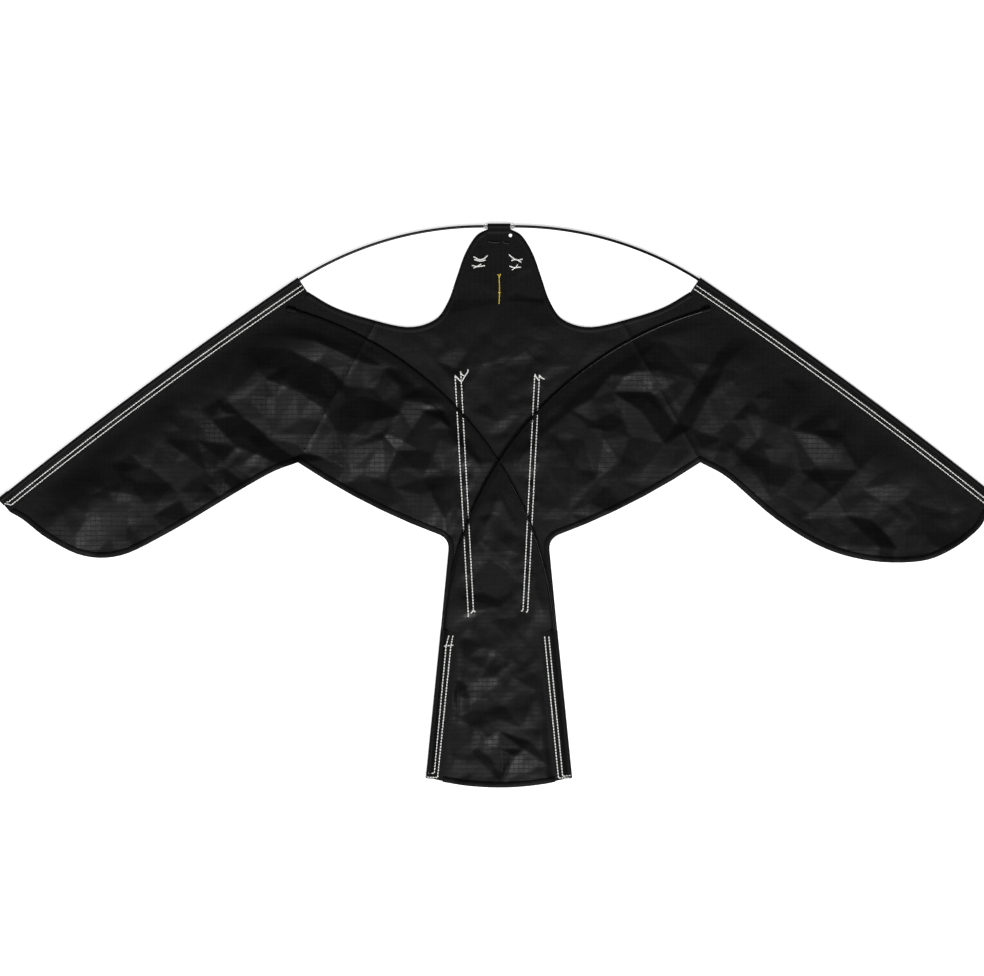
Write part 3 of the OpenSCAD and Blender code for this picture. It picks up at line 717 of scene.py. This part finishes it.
def make_fibreglass():
    """Pultruded fibreglass: black resin with a glossy skin and faint streaks from the die."""
    rods = bpy.context.scene.kite_rods
    tree, shader = new_material("pultruded fibreglass")
    place = add_node(tree, "ShaderNodeTexCoord").outputs["Object"]
    streak = add_node(tree, "ShaderNodeTexNoise", inputs={"Vector": place, "Scale": per(6.25), "Detail": 3})
    rough = add_node(tree, "ShaderNodeMapRange",
                     inputs={"Value": streak.outputs[0], "To Min": 0.18, "To Max": 0.3})
    tree.links.new(rough.outputs[0], shader.inputs["Roughness"])
    shader.inputs["Base Color"].default_value = (*rods.fibreglass, 1)
    shader.inputs["Specular IOR Level"].default_value = 0.15


def make_tube():
    """Extruded soft vinyl tube: milky, glossy and a little cloudy."""
    rods = bpy.context.scene.kite_rods
    tree, shader = new_material("soft vinyl tube")
    place = add_node(tree, "ShaderNodeTexCoord").outputs["Object"]
    cloud = add_node(tree, "ShaderNodeTexNoise", inputs={"Vector": place, "Scale": per(3.33), "Detail": 2})
    rough = add_node(tree, "ShaderNodeMapRange",
                     inputs={"Value": cloud.outputs[0], "To Min": 0.15, "To Max": 0.35})
    tree.links.new(rough.outputs[0], shader.inputs["Roughness"])
    shader.inputs["Base Color"].default_value = (*rods.tube, 1)
    shader.inputs["Transmission Weight"].default_value = 0.8
    shader.inputs["IOR"].default_value = 1.53


def make_rubber():
    """Dipped rubber: matt, with a fine bloom."""
    rods = bpy.context.scene.kite_rods
    tree, shader = new_material("dipped rubber")
    place = add_node(tree, "ShaderNodeTexCoord").outputs["Object"]
    bloom = add_node(tree, "ShaderNodeTexNoise", inputs={"Vector": place, "Scale": per(1.43), "Detail": 3})
    rough = add_node(tree, "ShaderNodeMapRange",
                     inputs={"Value": bloom.outputs[0], "To Min": 0.55, "To Max": 0.8})
    tree.links.new(rough.outputs[0], shader.inputs["Roughness"])
    shader.inputs["Base Color"].default_value = (*rods.rubber, 1)


def make_floor():
    """Seamless white paper, which shows white to the camera and still takes the kite's shadow."""
    tree, shader = new_material("white paper")
    shader.inputs["Base Color"].default_value = (0.8, 0.8, 0.8, 1)
    shader.inputs["Roughness"].default_value = 0.9
    path = add_node(tree, "ShaderNodeLightPath")
    seen = add_node(tree, "ShaderNodeMath", {"operation": "MAXIMUM"},
                    {0: path.outputs["Is Camera Ray"], 1: path.outputs["Is Glossy Ray"]})
    shown = add_node(tree, "ShaderNodeMath", {"operation": "MAXIMUM"},
                     {0: seen.outputs[0], 1: path.outputs["Is Transmission Ray"]})
    glow = add_node(tree, "ShaderNodeMath", {"operation": "MULTIPLY"}, {0: shown.outputs[0], 1: 0.65})
    tree.links.new(glow.outputs[0], shader.inputs["Emission Strength"])
    shader.inputs["Emission Color"].default_value = (1, 1, 1, 1)


class KITE_OT_materials(bpy.types.Operator):
    """Make the kite's materials"""
    bl_idname = "kite.materials"
    bl_label = "Materials"

    def execute(self, context):
        thread = context.scene.kite_thread
        make_ripstop()
        make_tape()
        make_thread("white sewing thread", thread.white)
        make_thread("yellow sewing thread", thread.yellow)
        make_thread("black sewing thread", thread.black)
        make_fibreglass()
        make_tube()
        make_rubber()
        make_floor()
        return {"FINISHED"}


class KITE_OT_sail(bpy.types.Operator):
    """Lay the four panels of the sail with their creases"""
    bl_idname = "kite.sail"
    bl_label = "Sail"

    def execute(self, context):
        cloth = context.scene.kite_cloth
        panels = {
            "sail_centre": ("body", (0.421, 0.418), 0.0905),
            "sail_wing_left": ("left_wing", (0.391, 0.287), 0.0489),
            "sail_wing_right": ("right_wing", (0.391, 0.292), 0.0524),
            "sail_tail": ("tail", (0.154, 0.164), 0.0198),
        }
        for node, (body, flat, area) in panels.items():
            mesh = flat_cloth(node, cloth.cell)
            close_folds(mesh)
            drape(mesh)
            piece = dress(add_piece(node + "_cloth", mesh, "ripstop polyester"), node, body)
        return {"FINISHED"}


class KITE_OT_bindings(bpy.types.Operator):
    """Fold tape round the sail's free edges"""
    bl_idname = "kite.bindings"
    bl_label = "Bindings"

    def execute(self, context):
        cloth = context.scene.kite_cloth
        tapes = {"tail_hem": "tail"}
        for side in ("left", "right"):
            tapes["shoulder_binding_" + side] = "body"
            tapes["body_binding_" + side] = "body"
            tapes["wing_front_binding_" + side] = side + "_wing"
            tapes["wing_rear_binding_" + side] = side + "_wing"
        for node, body in tapes.items():
            mesh = flat_cloth(node, cloth.tape_cell)
            close_folds(mesh)
            crown(mesh, TAPE_PUFF * MM, TAPE_HALF * MM)
            drape(mesh)
            dress(add_piece(node + "_tape", mesh, "woven polyester tape"), node, body)
        return {"FINISHED"}


class KITE_OT_sleeves(bpy.types.Operator):
    """Sew the sleeves, flaps, pockets, nose loop and stay tapes"""
    bl_idname = "kite.sleeves"
    bl_label = "Sleeves"

    def execute(self, context):
        cloth = context.scene.kite_cloth
        pieces = {"nose_loop": ("body", (0, 1, 0))}
        for side, sign in (("left", -1), ("right", 1)):
            wing = side + "_wing"
            pieces["wing_sleeve_" + side] = (wing, (math.cos(BOW_ANGLE) * sign, -math.sin(BOW_ANGLE), 0))
            pieces["tip_flap_" + side] = (wing, (math.cos(BOW_ANGLE) * sign, -math.sin(BOW_ANGLE), 0))
            pieces["spar_pocket_" + side] = (wing, (1, 0, 0))
            pieces["tail_sleeve_" + side] = ("tail", (0, 1, 0))
            pieces["stay_tape_" + side] = ("body", (0, 1, 0))
        for node, (body, along) in pieces.items():
            mesh = node_copy(node)
            close_folds(mesh)
            cut_along(mesh, along, 2 * cloth.cell)
            drape(mesh)
            dress(add_piece(node + "_cloth", mesh, "woven polyester tape"), node, body)
        return {"FINISHED"}


class KITE_OT_spars(bpy.types.Operator):
    """Fit the leading spar and the crossed spars"""
    bl_idname = "kite.spars"
    bl_label = "Spars"

    def execute(self, context):
        rods = context.scene.kite_rods
        bow = [BOW_CENTRE + BOW_R * np.array((math.sin(a), math.cos(a)))
               for a in np.linspace(0, BOW_ANGLE, BOW_STEPS)]
        wing = [wing_point(s, 0) for s in np.linspace(0, LEAD_END, WING_STEPS)[1:]]
        lead = np.array([(HALF_JOIN, NOSE_Y), *bow, *wing])
        for side, sign in (("left", -1), ("right", 1)):
            mesh = bmesh.new()
            sweep(mesh, [(sign * x, y, SPAR_Z) for x, y in lead], ROD_R, rods.sides)
            name = "leading_spar_" + side
            piece = add_piece(name + "_rod", mesh, "pultruded fibreglass")
            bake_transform(piece)
            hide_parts(name)
            self.cross(side, -sign, rods.sides)
        return {"FINISHED"}

    def cross(self, side, sign, sides):
        """One crossed spar, in two lengths that meet where the spars cross."""
        lengths = {"tail": np.linspace(0, CROSSING, LOW_STEPS),
                   side + "_wing": np.linspace(CROSSING, CROSS_SWEEP, HIGH_STEPS)}
        for body, turns in lengths.items():
            path = [(*tail_point(CROSS_LOW_END, 0), SPAR_Z)] if body == "tail" else []
            for turn in turns:
                heading = np.array((math.cos(CROSS_START + turn), math.sin(CROSS_START + turn)))
                x, y = CROSS_CENTRE + CROSS_R * heading
                share = min(abs(turn - CROSSING) / LIFT_TURN, 1)
                raised = CROSS_LIFT * (1 + math.cos(math.pi * share)) / 2 if side == "right" else 0
                path.append((x, y, SPAR_Z + raised))
            mesh = bmesh.new()
            sweep(mesh, [(sign * x, y, z) for x, y, z in path], ROD_R, sides)
            piece = add_piece("cross_spar_" + side + "_to_" + body, mesh, "pultruded fibreglass")
            dress(piece, "cross_spar_" + side, body)


class KITE_OT_fittings(bpy.types.Operator):
    """Finish the tube and the end caps"""
    bl_idname = "kite.fittings"
    bl_label = "Tube and caps"

    def execute(self, context):
        finishes = {"nose_tube": "soft vinyl tube"}
        for side in ("left", "right"):
            for cap in ("tip_cap_", "pocket_cap_", "tail_cap_"):
                finishes[cap + side] = "dipped rubber"
        for node, material in finishes.items():
            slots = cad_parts[node].data.materials
            slots.clear()
            slots.append(bpy.data.materials[material])
        return {"FINISHED"}


def stitch_row(mesh, path, tops, pitch, width, share):
    """Lays stitches along a path, on the upper faces of a tree, each a share of the pitch long."""
    for start, end in zip(path, path[1:]):
        start, end = np.array(start, float), np.array(end, float)
        count = max(1, round(math.dist(start, end) * MM / pitch))
        holes = np.linspace(start, end, count + 1)
        heights = height_on(tops, holes) + lift(holes) + STITCH_RISE
        line = [Vector((*hole, z)) * MM for hole, z in zip(holes, heights)]
        for one, other in zip(line, line[1:]):
            run = other - one
            shape = Matrix.Diagonal((width / 2, STITCH_HALF * MM, share / 2 * run.length, 1))
            place = Matrix.Translation((one + other) / 2) @ run.to_track_quat("Z", "Y").to_matrix().to_4x4()
            bmesh.ops.create_uvsphere(mesh, u_segments=6, v_segments=4, radius=1, matrix=place @ shape)


def lay_thread(mesh, stroke, top, radius):
    """A loose thread through points in millimetres, drawn as a smooth line that lies on the cloth."""
    corners = [Vector((*p, 0)) for p in stroke]
    corners = [2 * corners[0] - corners[1], *corners, 2 * corners[-1] - corners[-2]]
    line = []
    for before, start, end, after in zip(corners, corners[1:], corners[2:], corners[3:]):
        # A sixth of the way between a point's neighbours makes the line smooth at that point
        out, into = (end - before) / 6, (after - start) / 6
        line += geometry.interpolate_bezier(start, start + out, end - into, end, THREAD_STEPS)[:-1]
    line = np.array([p[:2] for p in (*line, corners[-2])])
    heights = top + lift(line) + radius
    sweep(mesh, [(x, y, z) for (x, y), z in zip(line, heights)], radius, THREAD_SIDES)


class KITE_OT_stitches(bpy.types.Operator):
    """Sew the white double rows"""
    bl_idname = "kite.stitches"
    bl_label = "Stitches"

    def execute(self, context):
        for side, sign in (("left", -1), ("right", 1)):
            rows = []
            for depth, turn_out in WING_ROWS:
                places = np.linspace(WING_ROW_START, WING_ROW_END, WING_ROW_STEPS)
                row = [wing_point(along, depth) for along in places]
                rows.append([p * (sign, 1) for p in (*row, wing_point(WING_ROW_TURN, turn_out))])
            self.sew(side + "_wing", "wing_seam_" + side, rows, "wing_sleeve_" + side, wide=0.8, share=1.1)
            self.sew("tail", "tail_seam_" + side, TAIL_ROWS[side], "tail_sleeve_" + side, wide=1, share=0.9)
            self.sew("body", "stay_seam_" + side, STAY_ROWS[side], "sail_centre", wide=1, share=0.9)
        return {"FINISHED"}

    def sew(self, body, name, rows, node, wide, share):
        """One piece of stitches, in rows on a CAD node's cloth."""
        thread = bpy.context.scene.kite_thread
        cloth = node_copy(node)
        bmesh.ops.scale(cloth, vec=(1 / MM, 1 / MM, 1 / MM), verts=cloth.verts)
        tops = bvhtree.BVHTree.FromBMesh(cloth)
        cloth.free()
        mesh = bmesh.new()
        for row in rows:
            stitch_row(mesh, row, tops, thread.pitch, wide * thread.width, share)
        piece = add_piece(name, mesh, "white sewing thread")
        follow(piece, body)


class KITE_OT_threads(bpy.types.Operator):
    """Tie the white tacks and loose ends, and the knotted yellow thread on the head"""
    bl_idname = "kite.threads"
    bl_label = "Threads"

    def execute(self, context):
        threads = {
            "white_tacks": (TACKS, SAIL_TOP, TACK_R, "white sewing thread"),
            "yellow_thread": (YELLOW_STROKES, SAIL_TOP, YELLOW_R, "yellow sewing thread"),
            "loop_tacks": (LOOP_TACKS, SLEEVE_TOP, LOOP_TACK_R, "black sewing thread"),
        }
        for name, (strokes, top, radius, material) in threads.items():
            mesh = bmesh.new()
            for stroke in strokes:
                lay_thread(mesh, stroke, top, radius)
            if name == "yellow_thread":
                self.knot(mesh)
            piece = add_piece(name, mesh, material)
            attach(piece, "body")
        return {"FINISHED"}

    def knot(self, mesh):
        """The round knot in the yellow thread."""
        height = SAIL_TOP + lift(np.array([YELLOW_KNOT]))[0] + YELLOW_R
        place = Matrix.Translation((YELLOW_KNOT[0] * MM, YELLOW_KNOT[1] * MM, height * MM))
        bmesh.ops.create_uvsphere(mesh, u_segments=12, v_segments=8, radius=KNOT_R * MM, matrix=place)


class KITE_OT_stage(bpy.types.Operator):
    """Set the floor, light and camera"""
    bl_idname = "kite.stage"
    bl_label = "Stage"

    def execute(self, context):
        studio = context.scene.kite_studio
        scene = context.scene
        mesh = bmesh.new()
        bmesh.ops.create_grid(mesh, x_segments=2, y_segments=2, size=FLOOR_HALF,
                              matrix=Matrix.Translation((0, 0, -FLOOR_DROP)))
        floor = add_piece("floor", mesh, "white paper")
        self.light("key light", KEY_AT, KEY_SIZE, studio.key)
        self.light("fill light", FILL_AT, FILL_SIZE, studio.fill)
        world = bpy.data.worlds.new("studio")
        world.use_nodes = True
        world.node_tree.nodes["Background"].inputs["Strength"].default_value = studio.sky
        world.node_tree.nodes["Background"].inputs["Color"].default_value = (1, 1, 1, 1)
        scene.world = world
        camera = bpy.data.cameras.new("camera")
        camera.sensor_fit = "HORIZONTAL"
        camera.angle_x = 2 * math.atan(studio.view_width / 2 / studio.distance)
        seat = bpy.data.objects.new("camera", camera)
        seat.location = (CAMERA_X, CAMERA_Y, studio.distance)
        scene.collection.objects.link(seat)
        scene.camera = seat
        scene.view_settings.view_transform = "Standard"
        return {"FINISHED"}

    def light(self, name, place, size, power):
        """A square soft light that faces the kite."""
        lamp = bpy.data.lights.new(name, "AREA")
        lamp.size = size
        lamp.energy = power
        seat = bpy.data.objects.new(name, lamp)
        seat.location = place
        seat.rotation_euler = (-Vector(place)).to_track_quat("-Z", "Y").to_euler()
        bpy.context.scene.collection.objects.link(seat)


class KITE_PT_panel(bpy.types.Panel):
    """Sizes, colours and steps of the kite"""
    bl_idname = "KITE_PT_panel"
    bl_label = "Kite"
    bl_space_type = "VIEW_3D"
    bl_region_type = "UI"
    bl_category = "Kite"

    def draw(self, context):
        for name, group in GROUPS.items():
            box = self.layout.box()
            for value in group.__annotations__:
                box.prop(getattr(context.scene, name), value)
        for step in STEPS:
            self.layout.operator(step.bl_idname)


GROUPS = {
    "kite_cloth": KiteCloth,
    "kite_thread": KiteThread,
    "kite_rods": KiteRods,
    "kite_studio": KiteStudio,
}
STEPS = (KITE_OT_materials, KITE_OT_sail, KITE_OT_bindings, KITE_OT_sleeves, KITE_OT_spars, KITE_OT_fittings,
         KITE_OT_stitches, KITE_OT_threads, KITE_OT_stage)


def register():
    """Adds the kite's settings, steps and panel."""
    for cls in (*GROUPS.values(), *STEPS, KITE_PT_panel):
        bpy.utils.register_class(cls)
    for name, group in GROUPS.items():
        setattr(bpy.types.Scene, name, PointerProperty(type=group))


def unregister():
    """Takes the kite's settings, steps and panel away again."""
    for name in GROUPS:
        delattr(bpy.types.Scene, name)
    for cls in (KITE_PT_panel, *reversed(STEPS), *reversed(GROUPS.values())):
        bpy.utils.unregister_class(cls)


def main():
    """Dresses the kite step by step."""
    register()
    bpy.ops.kite.materials()
    bpy.ops.kite.sail()
    bpy.ops.kite.bindings()
    bpy.ops.kite.sleeves()
    bpy.ops.kite.spars()
    bpy.ops.kite.fittings()
    bpy.ops.kite.stitches()
    bpy.ops.kite.threads()
    bpy.ops.kite.stage()


if __name__ == "__main__":
    main()
